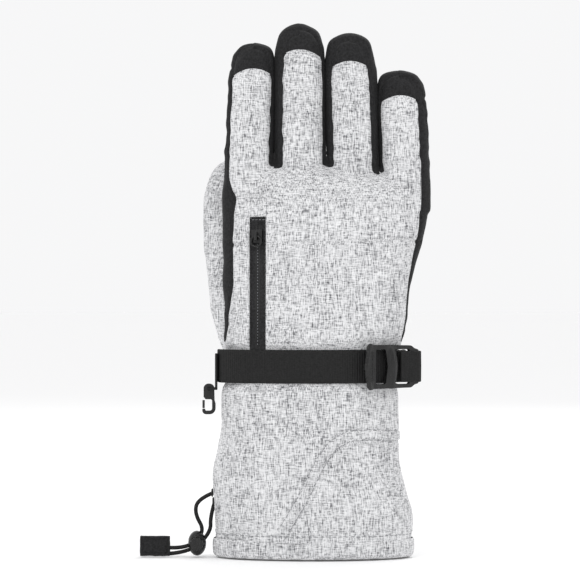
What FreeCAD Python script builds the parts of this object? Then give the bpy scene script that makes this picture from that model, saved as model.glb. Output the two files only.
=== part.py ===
"""Right-hand ski glove, standing on its hem with the fingers up.

Frame: +Z runs from the hand opening to the fingertips, -Y is the back of the hand, +Y the palm,
and -X the thumb side.  The origin is the centre of the hand opening, in the plane of the hem.
Sizes are millimetres.  Every driving size is a cell of the sheet "Sizes".
"""

import FreeCAD, Part
import math
import os

from FreeCAD import Matrix, Placement, Rotation, Vector

doc = FreeCAD.newDocument("ski_glove")
sheet = doc.addObject("Spreadsheet::Sheet", "Sizes")
values = {}
pieces = []

FINGERS = ("index", "middle", "ring", "little")
LIMBS = FINGERS + ("thumb",)


# ---------------------------------------------------------------- driving sizes

def size(alias, value):
    """One named cell of the sheet."""
    cell = "B%d" % (len(values) + 1)
    sheet.set(cell.replace("B", "A"), alias)
    sheet.set(cell, str(value))
    sheet.setAlias(cell, alias)
    values[alias] = float(value)


GENERAL = {
    "skin": 1.2,             # shell fabric or leather
    "pad": 2.6,              # insulation
    "lining": 1.0,           # fleece
    "back_edge": 4.5,        # where the back and palm panels meet the side strips
    "hem_height": 10.0,
    "strap_low": 104.5,
    "strap_width": 20.0,
    "strap_thick": 1.5,
    "strap_gap": 0.5,
    "zip_width": 9.4,
    "zip_length": 70.0,
    "zip_tape": 0.7,
    "cord_thick": 2.4,
    "buckle_thick": 2.6,
    "hook_thick": 2.6,
    "puller_ring": 3.75,
    "lock_wide": 5.5,
    "lock_tall": 7.5,
    "lock_deep": 6.6,
    "plunger_radius": 3.9,
    "running_fit": 0.06,
}

# height, centre across, half width, half depth
GAUNTLET = (
    (10.0, -1.5, 59.5, 33.0),
    (48.0, -5.0, 58.0, 31.5),
    (74.0, -5.5, 56.5, 29.5),
    (102.0, -2.5, 54.5, 27.0),
    (130.0, -2.0, 55.0, 26.0),
)
HAND = (
    (130.0, -2.0, 55.0, 26.0),
    (152.0, -0.5, 56.0, 25.0),
    (182.0, 1.2, 60.0, 23.5),
    (211.2, 3.5, 62.0, 21.5),
)
# knuckle height, tip height, centre at knuckle, centre at tip, half width, half depth,
# knuckle radius, height of the cap's edge
FINGER_SIZES = {
    "index": (228.0, 306.0, -40.6, -38.6, 14.6, 12.6, 15.6, 289.0),
    "middle": (231.0, 318.0, -9.2, -9.4, 15.6, 12.9, 16.0, 300.0),
    "ring": (229.0, 312.0, 22.6, 20.2, 14.8, 12.7, 15.8, 292.0),
    "little": (220.0, 290.0, 52.0, 49.4, 13.3, 11.6, 14.2, 271.0),
}
TIP_FORWARD = 7.0
# share of a finger's length, share of its radius
DOME = ((0.0, 1.0), (0.45, 0.98), (0.80, 0.93), (0.92, 0.76), (0.975, 0.5), (1.0, 0.22))
# height, centre across, centre in depth, half width, half depth
THUMB = (
    (150.0, -42.0, 19.0, 17.0, 16.0),
    (168.0, -47.5, 27.0, 17.5, 15.5),
    (190.0, -51.5, 31.5, 16.8, 15.0),
    (214.0, -51.0, 33.0, 15.4, 14.2),
    (228.0, -50.0, 33.5, 13.6, 12.6),
    (236.0, -49.5, 33.5, 9.5, 8.8),
    (240.5, -49.3, 33.5, 3.5, 3.2),
)
THUMB_PIVOT = (-41.0, 17.0, 148.0)
THUMB_BALL = 19.5
THUMB_CAP = 222.0

for alias, value in GENERAL.items():
    size(alias, value)
for limb, rows in (("gauntlet", GAUNTLET), ("hand", HAND)):
    for i, row in enumerate(rows):
        for field, value in zip(("height", "across", "wide", "deep"), row):
            size("%s_%s_%s" % (limb, "abcdefgh"[i], field), value)
for finger, row in FINGER_SIZES.items():
    fields = ("knuckle", "tip", "across", "tip_across", "wide", "deep", "drum", "cap")
    for field, value in zip(fields, row):
        size("%s_%s" % (finger, field), value)
for i, row in enumerate(THUMB):
    for field, value in zip(("height", "across", "depth", "wide", "deep"), row):
        size("thumb_%s_%s" % ("abcdefgh"[i], field), value)
size("tip_forward", TIP_FORWARD)
size("thumb_ball", THUMB_BALL)
size("thumb_cap", THUMB_CAP)
doc.recompute()


def cell(alias):
    """The expression that reads a cell."""
    return "Sizes." + alias


# ---------------------------------------------------------------- building blocks

def bind(obj, **expressions):
    """Binds an object's properties to expressions; a double underscore stands for a dot."""
    for name, expression in expressions.items():
        obj.setExpression(name.replace("__", "."), str(expression))
    return obj


def ellipse(name, height, across, depth, wide, deep):
    """A horizontal ellipse whose sizes and place are expressions."""
    ring = doc.addObject("Part::Ellipse", name)
    bind(ring, MajorRadius=wide, MinorRadius=deep,
         Placement__Base__x=across, Placement__Base__y=depth, Placement__Base__z=height)
    return ring


def loft(name, rings):
    body = doc.addObject("Part::Loft", name)
    body.Sections = rings
    body.Solid = True
    body.Ruled = True
    return body


def box(name, low, high):
    """An axis-aligned box between two corners, each a tuple of expressions or numbers."""
    block = doc.addObject("Part::Box", name)
    for axis, side, a, b in zip("xyz", ("Length", "Width", "Height"), low, high):
        bind(block, **{"Placement__Base__" + axis: a, side: "(%s) - (%s)" % (b, a)})
    return block


def cut(name, base, tool):
    result = doc.addObject("Part::Cut", name)
    result.Base, result.Tool = base, tool
    return result


def common(name, base, tool):
    result = doc.addObject("Part::Common", name)
    result.Base, result.Tool = base, tool
    return result


def fuse(name, parts):
    result = doc.addObject("Part::MultiFuse", name)
    result.Shapes = parts
    return result


def node(name, obj):
    """Marks an object as the sub-part of that name."""
    obj.Label = name
    pieces.append(obj)
    return obj


def group(name, members):
    """A node that holds several separate solids."""
    result = doc.addObject("Part::Compound", name)
    result.Links = members
    return node(name, result)


FAR = 400.0


def depth_slab(name, low_y, high_y, low_z=-FAR, high_z=FAR):
    """A wide slab between two depths and two heights."""
    return box(name, (-FAR, low_y, low_z), (FAR, high_y, high_z))


# ---------------------------------------------------------------- tubes of the glove

def trunk(name, part, rows, inset):
    """The gauntlet or the hand as a closed tube, drawn in by an expression."""
    rings = []
    for i in range(len(rows)):
        key = "%s_%s_" % (part, "abcdefgh"[i])
        rings.append(ellipse("%s_ring_%d" % (name, i), cell(key + "height"), cell(key + "across"), 0,
                             "%s - (%s)" % (cell(key + "wide"), inset),
                             "%s - (%s)" % (cell(key + "deep"), inset)))
    return loft(name, rings)


def finger_tube(name, finger, inset, extend=0.0):
    """A finger as a tube with a domed tip, drawn in by an expression and extended downwards."""
    key = finger + "_"
    base, tip = cell(key + "knuckle"), "(%s - (%s))" % (cell(key + "tip"), inset)
    rings = []
    shares = (((-extend, 1.0),) if extend else ()) + DOME
    for i, (share, shrink) in enumerate(shares):
        if share < 0:
            height = "%s - %s" % (base, extend)
            share = 0.0
        else:
            height = "%s + %s * (%s - %s)" % (base, share, tip, base)
        across = "%s + %s * (%s - %s)" % (cell(key + "across"), share,
                                          cell(key + "tip_across"), cell(key + "across"))
        rings.append(ellipse("%s_ring_%d" % (name, i), height, across,
                             "%s * %s" % (share ** 2, cell("tip_forward")),
                             "%s * (%s - (%s))" % (shrink, cell(key + "wide"), inset),
                             "%s * (%s - (%s))" % (shrink, cell(key + "deep"), inset)))
    return loft(name, rings)


def thumb_tube(name, inset):
    """The thumb as a tube; its tip comes down by the inset."""
    rings = []
    last = len(THUMB) - 1
    for i in range(len(THUMB)):
        key = "thumb_%s_" % "abcdefgh"[i]
        drop = "(%s)" % inset if i > last - 3 else "0"
        shrink = (1.0, 0.7, 0.3)[max(0, i - last + 2)]
        rings.append(ellipse("%s_ring_%d" % (name, i), "%s - %s" % (cell(key + "height"), drop),
                             cell(key + "across"), cell(key + "depth"),
                             "%s - %s * (%s)" % (cell(key + "wide"), shrink, inset),
                             "%s - %s * (%s)" % (cell(key + "deep"), shrink, inset)))
    return loft(name, rings)


def drum(name, finger, grow):
    """A cylinder across the finger, round its knuckle axis."""
    key = finger + "_"
    barrel = doc.addObject("Part::Cylinder", name)
    barrel.Placement = Placement(Vector(), Rotation(Vector(0, 1, 0), 90))
    bind(barrel, Radius="%s + %s" % (cell(key + "drum"), grow),
         Height="2 * (%s + %s)" % (cell(key + "wide"), grow),
         Placement__Base__x="%s - %s - %s" % (cell(key + "across"), cell(key + "wide"), grow),
         Placement__Base__z=cell(key + "knuckle"))
    return barrel


def ball(name, grow):
    """The round base that the thumb turns on."""
    sphere = doc.addObject("Part::Sphere", name)
    bind(sphere, Radius="%s + %s" % (cell("thumb_ball"), grow))
    sphere.Placement.Base = Vector(*THUMB_PIVOT)
    return sphere


SKIN = cell("skin")
PAD = "%s + %s" % (cell("skin"), cell("pad"))
LINING = "%s + %s + %s" % (cell("skin"), cell("pad"), cell("lining"))
LAYERS = ("0", SKIN, PAD, LINING)


def layer(name, tubes, i):
    """The wall between one tube and the next one in."""
    return cut(name, tubes[i], tubes[i + 1])


# ---------------------------------------------------------------- gauntlet

def gauntlet():
    tubes = [trunk("gauntlet_tube_%d" % i, "gauntlet", GAUNTLET, inset)
             for i, inset in enumerate(LAYERS)]
    skin = layer("gauntlet_skin", tubes, 0)
    node("gauntlet_back_panel", common("gauntlet_back", skin, depth_slab("gauntlet_front", -FAR, 0)))
    node("gauntlet_palm_panel", common("gauntlet_palm", skin, depth_slab("gauntlet_rear", 0, FAR)))
    node("gauntlet_insulation", layer("gauntlet_pad", tubes, 1))
    node("gauntlet_lining", layer("gauntlet_fleece", tubes, 2))
    key = "gauntlet_a_"
    sizes = (cell(key + "across"), 0, cell(key + "wide"), cell(key + "deep"))
    inner = sizes[:2] + tuple("%s - (%s)" % (s, LINING) for s in sizes[2:])
    outer = loft("hem_outer", [ellipse("hem_low", 0, *sizes),
                               ellipse("hem_high", cell("hem_height"), *sizes)])
    bore = loft("hem_bore", [ellipse("hem_bore_low", 0, *inner),
                             ellipse("hem_bore_high", cell("hem_height"), *inner)])
    node("hem_binding", cut("hem", outer, bore))


# ---------------------------------------------------------------- hand

def zip_frame():
    """Where the zip lies: x across it, y up it, z out of the back of the hand."""
    up = Vector(0, 0.0454, 0.999).normalize()
    out = Vector(-0.314, -0.9485, 0.0)
    out = (out - up * out.dot(up)).normalize()
    across = up.cross(out)
    turn = Rotation(across, up, out, "ZYX")
    return Placement(Vector(-35.6, -20.7, 129.0), turn)


ZIP = zip_frame()


def zip_box(name, low, high):
    """A box in the zip's own directions."""
    block = doc.addObject("Part::Box", name)
    block.Length, block.Width, block.Height = [b - a for a, b in zip(low, high)]
    block.Placement = ZIP.multiply(Placement(Vector(*low), Rotation()))
    return block


def hand():
    tubes = [trunk("hand_tube_%d" % i, "hand", HAND, inset) for i, inset in enumerate(LAYERS)]
    width, length = values["zip_width"], values["zip_length"]
    slit = zip_box("zip_slit", (-width / 2, 0, -3.2), (width / 2, length, 6.0))
    notch = box("thumb_notch", (-90, -3.2, 127.9), (-20.9, 60, 188.0))
    step = box("little_step", (37.6, -60, cell("little_knuckle") + " - 14.6"), (90, 60, 240))
    tools = {"slit": slit, "notch": notch, "step": step}
    edge = cell("back_edge")

    def carve(label, wall, slab, names):
        """One side of a wall, less the rooms it meets."""
        shape = common(label + "_side", wall, slab)
        for tool in names:
            shape = cut("%s_less_%s" % (label, tool), shape, tools[tool])
        return shape

    skin = layer("hand_skin", tubes, 0)
    front = depth_slab("hand_front", -FAR, "-" + edge)
    rear = depth_slab("hand_rear", edge, FAR)
    node("hand_back_panel", carve("back", skin, front, ("slit", "step")))
    little_top = cell("little_knuckle") + " - 14.8"
    thumb_side = box("gusset_thumb_zone", (-90, "-" + edge, 188.2), (0, edge, 240))
    little_side = box("gusset_little_zone", (0, "-" + edge, 120), (90, edge, little_top))
    group("side_gussets", [common("gusset_thumb", skin, thumb_side),
                           common("gusset_little", skin, little_side)])
    node("palm_panel", carve("palm", skin, rear, ("notch", "step")))

    ahead = depth_slab("hand_ahead", -FAR, 0)
    behind = depth_slab("hand_behind", 0, FAR)
    pad = layer("hand_pad", tubes, 1)
    node("back_insulation", carve("back_pad", pad, ahead, ("slit", "notch", "step")))
    node("palm_insulation", carve("palm_pad", pad, behind, ("notch", "step")))
    fleece = layer("hand_fleece", tubes, 2)
    group("hand_lining", [carve("back_fleece", fleece, ahead, ("notch", "step")),
                          carve("palm_fleece", fleece, behind, ("notch", "step"))])


# ---------------------------------------------------------------- fingers and thumb

def dress(limb, tubes, solid, pad_core, low):
    """Cuts one limb's skin into its panels and adds its insulation and lining."""
    edge, cap = cell("back_edge"), cell(limb + "_cap")
    middle = "0" if limb != "thumb" else "30"
    near, far = "%s - %s" % (middle, edge), "%s + %s" % (middle, edge)
    skin = layer(limb + "_skin", tubes, 0)
    node(limb + "_back_panel",
         common(limb + "_back", skin, depth_slab(limb + "_front", -FAR, near, low, cap)))
    node(limb + "_palm_panel",
         common(limb + "_palm", skin, depth_slab(limb + "_rear", far, FAR, low, cap)))
    node(limb + "_side_strips",
         common(limb + "_sides", skin, depth_slab(limb + "_middle", near, far, low, cap)))
    node(limb + "_tip_cap", common(limb + "_cap_skin", skin,
                                   depth_slab(limb + "_above", -FAR, FAR, cap, FAR)))
    node(limb + "_insulation", cut(limb + "_padding", solid, pad_core))
    node(limb + "_lining", layer(limb + "_fleece", tubes, 2))


def fingers():
    for finger in FINGERS:
        tubes = [finger_tube("%s_tube_%d" % (finger, i), finger, inset)
                 for i, inset in enumerate(LAYERS)]
        low = "%s + %s" % (cell(finger + "_knuckle"), cell(finger + "_drum"))
        pad = common(finger + "_pad_above", tubes[1],
                     depth_slab(finger + "_over", -FAR, FAR, cell(finger + "_knuckle"), FAR))
        solid = fuse(finger + "_pad_solid", [pad, drum(finger + "_drum", finger, "0")])
        core = finger_tube(finger + "_core", finger, PAD, 18.0)
        dress(finger, tubes, solid, core, low)


def thumb():
    tubes = [thumb_tube("thumb_tube_%d" % i, inset) for i, inset in enumerate(LAYERS)]
    solid = fuse("thumb_pad_solid", [tubes[1], ball("thumb_ball_solid", "0")])
    well = box("thumb_well", (-52, 4, 120), (-30, 30, 152))
    core = fuse("thumb_core", [thumb_tube("thumb_core_tube", PAD), well])
    dress("thumb", tubes, solid, core, "172")


# ---------------------------------------------------------------- wrist strap and buckle

def band(name, low, height, inner, outer):
    """An elliptical ring round the wrist, between two distances from the shell."""
    across, wide, deep = -2.4, 55.0, 27.0

    def disc(label, grow):
        return loft(label, [ellipse("%s_%d" % (label, i), z, across, 0,
                                    "%s + (%s)" % (wide, grow), "%s + (%s)" % (deep, grow))
                            for i, z in enumerate((low, "%s + %s" % (low, height)))])
    return cut(name, disc(name + "_outer", outer), disc(name + "_inner", inner))


def strap():
    low, height = cell("strap_low"), cell("strap_width")
    gap, thick = cell("strap_gap"), cell("strap_thick")
    webbing = band("strap_band", low, height, gap, "%s + %s" % (gap, thick))
    front = box("strap_reach", (-70, -60, 90), (36.5, -1.0, 140))
    anchor = box("strap_anchor", (47.5, -60, 90), (80, 4.0, 140))
    group("wrist_strap", [common("strap", webbing, front), common("strap_end", webbing, anchor)])


# ---------------------------------------------------------------- sketched hardware

def origin_plane(body, role):
    return next(f for f in body.Origin.OriginFeatures if f.Role == role)


def rounded(sketch, corners, radius):
    """Draws a closed outline with its corners rounded; each corner is (x, y) or (x, y, radius)."""
    spans = []
    count = len(corners)
    for i, corner in enumerate(corners):
        point = Vector(corner[0], corner[1], 0)
        turn = corner[2] if len(corner) > 2 else radius
        before = Vector(*corners[i - 1][:2], 0) - point
        after = Vector(*corners[(i + 1) % count][:2], 0) - point
        half = before.getAngle(after) / 2
        reach = turn / math.tan(half)
        start = point + before.normalize() * reach
        end = point + after.normalize() * reach
        middle = point + (before + after).normalize() * (turn / math.sin(half) - turn)
        spans.append((start, middle, end))
    for i, (start, middle, end) in enumerate(spans):
        sketch.addGeometry(Part.Arc(start, middle, end), False)
        sketch.addGeometry(Part.LineSegment(end, spans[(i + 1) % count][0]), False)


def sketched(name, role, outlines, circles, thick, placement):
    """A body padded both ways from one origin plane: outlines with rounded corners, and holes."""
    body = doc.addObject("PartDesign::Body", name)
    sketch = body.newObject("Sketcher::SketchObject", name + "_sketch")
    sketch.AttachmentSupport = [(origin_plane(body, role), "")]
    sketch.MapMode = "FlatFace"
    for corners, radius in outlines:
        rounded(sketch, corners, radius)
    for x, y, radius in circles:
        sketch.addGeometry(Part.Circle(Vector(x, y, 0), Vector(0, 0, 1), radius), False)
    pad = body.newObject("PartDesign::Pad", name + "_pad")
    pad.Profile = sketch
    pad.SideType = "Symmetric"
    bind(pad, Length=thick)
    body.Placement = placement
    return body


def cylinder(name, base, direction, radius, length):
    rod = doc.addObject("Part::Cylinder", name)
    rod.Placement = Placement(Vector(*base), Rotation(Vector(0, 0, 1), Vector(*direction)))
    bind(rod, Radius=radius, Height=length)
    return rod


# ---------------------------------------------------------------- zip

ZIP_TOP = 67.0


def zip_parts():
    half = values["zip_width"] / 2 - 0.15
    tape = [zip_box("tape_%d" % i, (a, 2.2, -2.9), (b, 69.7, -2.2))
            for i, (a, b) in enumerate(((-half, -0.25), (0.25, half)))]
    group("zip_tape", tape)
    rods = []
    for i, x in enumerate((-0.95, 0.95)):
        rod = doc.addObject("Part::Cylinder", "coil_%d" % i)
        rod.Radius, rod.Height = 0.75, 67.0
        rod.Placement = ZIP.multiply(Placement(Vector(x, 2.5, -1.44), Rotation(Vector(1, 0, 0), -90)))
        rods.append(rod)
    group("zip_coil", rods)
    garage = zip_box("garage_patch", (-4.7, 70.6, 0.35), (4.7, 81.4, 1.25))
    node("zip_garage", garage)

    top = ZIP_TOP
    plate = zip_box("slider_plate", (-3.4, top - 8.0, -0.45), (3.4, top, 1.1))
    posts = [zip_box("slider_post_%d" % i, (-0.9, y, 1.0), (0.9, y + 1.0, 2.9))
             for i, y in enumerate((top - 6.6, top - 2.4))]
    bridge = zip_box("slider_bridge", (-0.9, top - 6.6, 2.8), (0.9, top - 1.4, 3.5))
    node("zip_slider", fuse("slider", [plate] + posts + [bridge]))

    ring = values["puller_ring"]
    centre = Vector(0, top - 4.0 - (ring - 0.65), 1.95)
    loop = doc.addObject("Part::Torus", "puller_loop")
    bind(loop, Radius1=cell("puller_ring") + " - 0.65", Radius2="0.65")
    loop.Placement = ZIP.multiply(Placement(centre, Rotation()))
    node("zip_puller", loop)


# ---------------------------------------------------------------- wrist buckle

BUCKLE = Placement(Vector(44.5, -20.0, 114.5),
                   Rotation(Vector(math.cos(math.radians(30)), math.sin(math.radians(30)), 0),
                            Vector(0, 0, 1), Vector(), "XYZ"))


def buckle():
    outline = ((-18.4, 0.0, 14.0), (-16.5, 13.2, 2.5), (13.0, 12.6, 3.5), (17.6, 9.0, 3.0),
               (17.6, -9.0, 3.0), (13.0, -12.6, 3.5), (-16.5, -13.2, 2.5))
    left = ((-11.6, 10.3), (-5.0, 10.3), (-3.4, 0.0, 8.0), (-5.0, -10.3), (-11.6, -10.3))
    right = ((1.6, 0.0, 8.0), (0.2, 10.3), (11.6, 10.3), (11.6, -10.3), (0.2, -10.3))
    node("buckle_frame", sketched("buckle_frame", "XY_Plane",
                                  [(outline, 2.0), (left, 1.0), (right, 1.0)], [],
                                  cell("buckle_thick"), BUCKLE))


def anchor_loop():
    """The short webbing looped round the buckle's end bar."""
    def local(label, low, high):
        block = doc.addObject("Part::Box", label)
        block.Length, block.Width, block.Height = [b - a for a, b in zip(low, high)]
        block.Placement = BUCKLE.multiply(Placement(Vector(*low), Rotation()))
        return block
    front = local("loop_front", (6.0, -9.4, 1.75), (19.6, 9.4, 3.0))
    back = local("loop_back", (6.0, -9.4, -3.0), (19.6, 9.4, -1.75))
    end = local("loop_end", (18.2, -9.4, -2.9), (19.6, 9.4, 2.9))
    node("buckle_loop", fuse("loop", [front, back, end]))


# ---------------------------------------------------------------- glove clip

HOOK = Vector(-64.6, -3.0, 100.9)


def clip():
    arm_low, arm_high = HOOK.z - 0.7, HOOK.z + 0.7
    arms = [box("clip_arm_%d" % i, (-65.3, y, arm_low), (-59.6, y + 1.4, arm_high))
            for i, y in enumerate((-7.2, -0.2))]
    plate = box("clip_plate", (-60.9, -7.2, arm_low), (-59.55, 1.2, 122))
    bar = cylinder("clip_bar", (HOOK.x, -7.1, HOOK.z), (0, 1, 0), 0.7, 8.2)
    node("clip_tab", fuse("clip", arms + [plate, bar]))

    outline = ((-3.2, 3.0, 2.9), (3.2, 3.0, 2.9), (3.4, -7.0, 1.5), (4.0, -9.0, 1.5),
               (4.0, -15.4, 3.6), (-4.0, -15.4, 2.4), (-4.0, -12.0, 0.5), (-2.2, -12.0, 0.5),
               (-2.2, -13.2, 0.5), (1.9, -13.2, 1.5), (1.9, -6.4, 1.0), (-2.0, -6.4, 0.6),
               (-3.2, -5.0, 0.8))
    node("clip_hook", sketched("clip_hook", "XZ_Plane", [(outline, 1.0)], [(0, 0, 0.76)],
                               cell("hook_thick"), Placement(HOOK, Rotation())))
    gate = box("gate_bar", (HOOK.x - 3.9, HOOK.y - 0.9, HOOK.z - 11.7),
               (HOOK.x - 2.5, HOOK.y + 0.9, HOOK.z - 6.9))
    node("clip_gate", gate)


# ---------------------------------------------------------------- hem drawcord and its lock

LOCK = Vector(-71.8, 0.0, 8.0)
RUN = Vector(-1, 0, -1).normalize()
SIDE = Vector(1, 0, -1).normalize()

# The two strands leave the side seam, pass through the lock and are sewn into the pull tab.
OUTER_STRAND = ((-61.8, 38.3), (-71.2, 34.6), (-73.4, 26.0), (-66.92, 14.86), (-77.17, 4.61), (-89.0, 5.3))
INNER_STRAND = ((-61.2, 33.0), (-63.9, 24.0), (-63.5, 14.54), (-75.6, 2.44), (-89.0, 1.7))


def strand(name, route):
    """A tube along straight runs that tangent arcs join."""
    points = [Vector(x, 0, z) for x, z in route]
    edges, radii, start = [], [], points[0]
    for before, corner, after in zip(points, points[1:], points[2:]):
        back, ahead = before - corner, after - corner
        half = (math.pi - back.getAngle(ahead)) / 2
        shorter = min(back.Length, ahead.Length)
        radii.append(0.45 * shorter / math.tan(half))
        reach = 0.45 * shorter
        back.normalize()
        ahead.normalize()
        first, last = corner + back * reach, corner + ahead * reach
        bulge = radii[-1] / math.cos(half) - radii[-1]
        edges.append(Part.LineSegment(start, first).toShape())
        edges.append(Part.Arc(first, corner + (back + ahead).normalize() * bulge, last).toShape())
        start = last
    edges.append(Part.LineSegment(start, points[-1]).toShape())
    spine = doc.addObject("Part::Feature", name + "_route")
    spine.Shape = Part.Wire(edges)
    ring = doc.addObject("Part::Circle", name + "_section")
    ring.Placement = Placement(points[0], Rotation(Vector(0, 0, 1), points[1] - points[0]))
    bind(ring, Radius=cell("cord_thick") + " / 2")
    tube = doc.addObject("Part::Sweep", name + "_tube")
    tube.Sections = [ring]
    tube.Spine = (spine, ["Edge%d" % (i + 1) for i in range(len(edges))])
    tube.Solid = True
    doc.recompute()
    length = spine.Shape.Length
    print("%s: length %.1f, radii %s, volume %.1f of %.1f" % (
        name, length, [round(r, 1) for r in radii], tube.Shape.Volume,
        math.pi * (values["cord_thick"] / 2) ** 2 * length))
    return node(name, tube)


def drawcord():
    strand("drawcord_outer", OUTER_STRAND)
    strand("drawcord_inner", INNER_STRAND)
    eyes = []
    for i, (x, z) in enumerate((OUTER_STRAND[0], INNER_STRAND[0])):
        eye = doc.addObject("Part::Torus", "eyelet_%d" % i)
        eye.Radius1, eye.Radius2 = 2.0, 0.55
        eye.Placement = Placement(Vector(x - 0.9, 0, z), Rotation(Vector(0, 1, 0), 90))
        eyes.append(eye)
    group("cord_eyelets", eyes)

    egg = doc.addObject("Part::Ellipsoid", "lock_egg")
    bind(egg, Radius1=cell("lock_deep"), Radius2=cell("lock_wide"), Radius3=cell("lock_tall"))
    egg.Placement = Placement(LOCK, Rotation(Vector(1, 0, 0), -90))
    radius = "%s + %s" % (cell("plunger_radius"), cell("running_fit"))
    bore = cylinder("lock_bore", LOCK + Vector(0, -9, 0), (0, 1, 0), radius, 14.2)
    turn = Rotation(SIDE, Vector(0, 1, 0), Vector(), "XYZ")

    def channel(label, left, right, low, high, start=-15.0, end=15.0):
        """A slot along the cords: across them, through the lock, and along them."""
        hole = doc.addObject("Part::Box", label)
        hole.Length, hole.Width, hole.Height = right - left, high - low, end - start
        hole.Placement = Placement(LOCK + SIDE * left + Vector(0, low, 0) + RUN * end, turn)
        return hole
    body = cut("lock_bored", egg, bore)
    body = cut("lock_slotted", body, channel("lock_channel", -2.8, 2.8, -1.5, 1.5))
    node("cord_lock_body", cut("lock_body", body, channel("lock_mouth", -5.0, 2.0, -1.4, 1.4)))
    shaft = cylinder("plunger_shaft", LOCK + Vector(0, -8.6, 0), (0, 1, 0), cell("plunger_radius"), 11.6)
    node("cord_lock_plunger", cut("plunger", shaft, channel("plunger_channel", -2.85, 2.8, -3.1, 1.4)))

    tab = box("tab_block", (-106.0, -2.2, 0.3), (-88.0, 2.2, 12.3))
    node("pull_tab", tab)


# ---------------------------------------------------------------- sewn-on trim

def trim():
    """The blank white label sewn to the little-finger side of the gauntlet's palm face."""
    wall = cut("label_wall", trunk("label_outer", "gauntlet", GAUNTLET, "-1.0"),
               trunk("label_inner", "gauntlet", GAUNTLET, "-0.3"))
    side = common("label_side", wall, depth_slab("label_rear", 3, 17))
    zone = box("label_zone", (20, 0, 55), (90, 40, 89))
    node("cuff_label", common("label", side, zone))


gauntlet()
hand()
fingers()
thumb()
strap()
zip_parts()
buckle()
anchor_loop()
clip()
drawcord()
trim()


# ---------------------------------------------------------------- write the sub-parts

def write():
    doc.recompute()
    for obj in doc.Objects:
        if {"Invalid", "Error"} & set(obj.State):
            raise RuntimeError("%s (%s) failed: %s" % (obj.Name, obj.Label, obj.State))
    os.makedirs("parts", exist_ok=True)
    for name in os.listdir("parts"):
        os.remove(os.path.join("parts", name))
    for obj in pieces:
        shape = obj.Shape
        if shape.isNull() or not shape.isValid() or not shape.Solids:
            raise RuntimeError("%s has no valid solid" % obj.Label)
        shape.exportStep(os.path.join("parts", obj.Label + ".step"))
        print("%-24s %d solids %9.1f mm3" % (obj.Label, len(shape.Solids), shape.Volume))


write()
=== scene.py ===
import math

import bmesh
import bpy
import numpy as np
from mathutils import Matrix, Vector
from mathutils.bvhtree import BVHTree
from mathutils.noise import noise


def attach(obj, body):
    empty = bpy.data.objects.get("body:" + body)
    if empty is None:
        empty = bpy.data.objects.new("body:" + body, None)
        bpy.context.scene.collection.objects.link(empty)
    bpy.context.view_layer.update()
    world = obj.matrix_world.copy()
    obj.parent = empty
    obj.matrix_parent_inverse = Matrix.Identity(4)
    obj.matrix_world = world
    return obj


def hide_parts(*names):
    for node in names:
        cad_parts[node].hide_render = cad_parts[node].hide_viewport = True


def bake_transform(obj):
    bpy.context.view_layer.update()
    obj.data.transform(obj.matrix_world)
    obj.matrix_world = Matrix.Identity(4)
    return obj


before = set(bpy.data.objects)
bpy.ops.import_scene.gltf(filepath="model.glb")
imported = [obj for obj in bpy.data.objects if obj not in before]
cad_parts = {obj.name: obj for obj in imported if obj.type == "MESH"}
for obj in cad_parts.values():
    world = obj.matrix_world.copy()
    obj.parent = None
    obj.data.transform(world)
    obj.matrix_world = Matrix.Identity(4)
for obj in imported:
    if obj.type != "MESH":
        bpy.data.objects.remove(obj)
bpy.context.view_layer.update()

MM = 0.001
SKIN_VOXEL = 1.05        # mesh size of the glove's surface, in millimetres
THUMB_VOXEL = 1.15
CLOTH_VOXEL = 4.5        # mesh size while the padding is blown up
CLOTH_FRAMES = 20
SKIN_LOW = 10.5          # the glove's surface starts here, and the hem roll is below it
WRIST_SEAM = 119.5
LINING_INSET = 5.2       # shell, padding and fleece together, and a little air
ZIP_X = -35.2
FINGERS = ("index", "middle", "ring", "little")


# ---------------------------------------------------------------- camera, light, floor

def camera():
    """A long lens straight at the back of the hand."""
    data = bpy.data.cameras.new("camera")
    data.lens = 186
    cam = bpy.data.objects.new("camera", data)
    cam.location = (-0.016, -1.80, 0.160)
    cam.rotation_euler = (math.radians(90), 0, 0)
    bpy.context.collection.objects.link(cam)
    bpy.context.scene.camera = cam


def area_light(name, place, size, power):
    data = bpy.data.lights.new(name, "AREA")
    data.shape, data.size, data.energy = "DISK", size, power
    light = bpy.data.objects.new(name, data)
    light.location = place
    light.rotation_euler = (Vector((0, 0, 0.15)) - light.location).to_track_quat("-Z", "Y").to_euler()
    bpy.context.collection.objects.link(light)


def studio():
    area_light("key", (-0.9, -1.5, 1.5), 0.8, 10)
    area_light("fill", (1.3, -1.1, 0.7), 1.2, 3)
    area_light("rim", (0.5, 1.5, 1.3), 1.2, 8)
    world = bpy.data.worlds.new("studio")
    world.use_nodes = True
    world.node_tree.nodes["Background"].inputs["Color"].default_value = (0.96, 0.96, 0.965, 1)
    world.node_tree.nodes["Background"].inputs["Strength"].default_value = 0.97
    bpy.context.scene.world = world
    bpy.context.scene.view_settings.view_transform = "Standard"
    mesh = bpy.data.meshes.new("floor")
    steps = 48
    ring = [(20 * math.cos(math.tau * i / steps), 20 * math.sin(math.tau * i / steps), -0.0004)
            for i in range(steps)]
    mesh.from_pydata(ring, [], [list(range(steps))])
    floor = bpy.data.objects.new("floor", mesh)
    bpy.context.collection.objects.link(floor)
    mat, _, _ = new_material("pale_floor", (0.93, 0.93, 0.93), 0.95, Specular_IOR_Level=0.1,
                                 Emission_Color=(1, 1, 1, 1), Emission_Strength=0.06)
    mesh.materials.append(mat)


# ---------------------------------------------------------------- materials

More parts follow.
